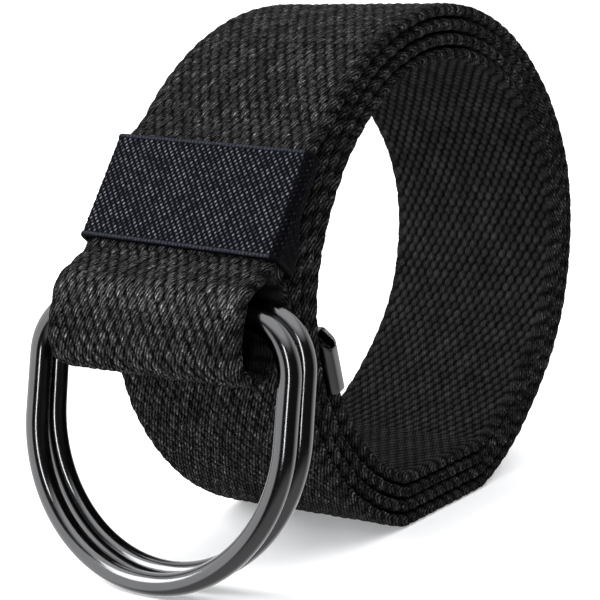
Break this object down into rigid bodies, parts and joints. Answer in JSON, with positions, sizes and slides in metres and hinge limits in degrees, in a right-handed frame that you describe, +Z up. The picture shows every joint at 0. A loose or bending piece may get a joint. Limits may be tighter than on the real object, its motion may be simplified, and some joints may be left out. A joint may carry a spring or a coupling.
{
  "type": "double ring belt",
  "caption": "Rolled webbing belt standing on its rim, with two D rings in a folded end, an elastic keeper sleeve and a metal end tip.",
  "frame": {"origin": "under the middle of the belt's box, on the surface that the coil stands on", "axes": "+X along the axis of the coil and across the webbing, +Y away from the D rings, +Z up"},
  "size_m": [0.0538, 0.1342, 0.0968],
  "materials": {
    "webbing": "coarse plain weave, matte",
    "elastic": "fine twill, matte",
    "ring_metal": "gunmetal plating, gloss",
    "tip_metal": "gunmetal plating, satin"
  },
  "bodies": {
    "belt": {"strap": "webbing", "elastic_keeper": "elastic", "end_tip": "tip_metal"},
    "front_ring": {"ring_front": "ring_metal"},
    "rear_ring": {"ring_rear": "ring_metal"}
  },
  "joints": [
    {"name": "front_ring_pivot", "type": "hinge", "parent": "belt", "child": "front_ring", "pos_m": [0, -0.05868, 0.04684], "axis": [1, 0, 0], "range_deg": [-195, 0]},
    {"name": "rear_ring_pivot", "type": "hinge", "parent": "belt", "child": "rear_ring", "pos_m": [0, -0.05435, 0.04744], "axis": [1, 0, 0], "range_deg": [0, 25]}
  ]
}
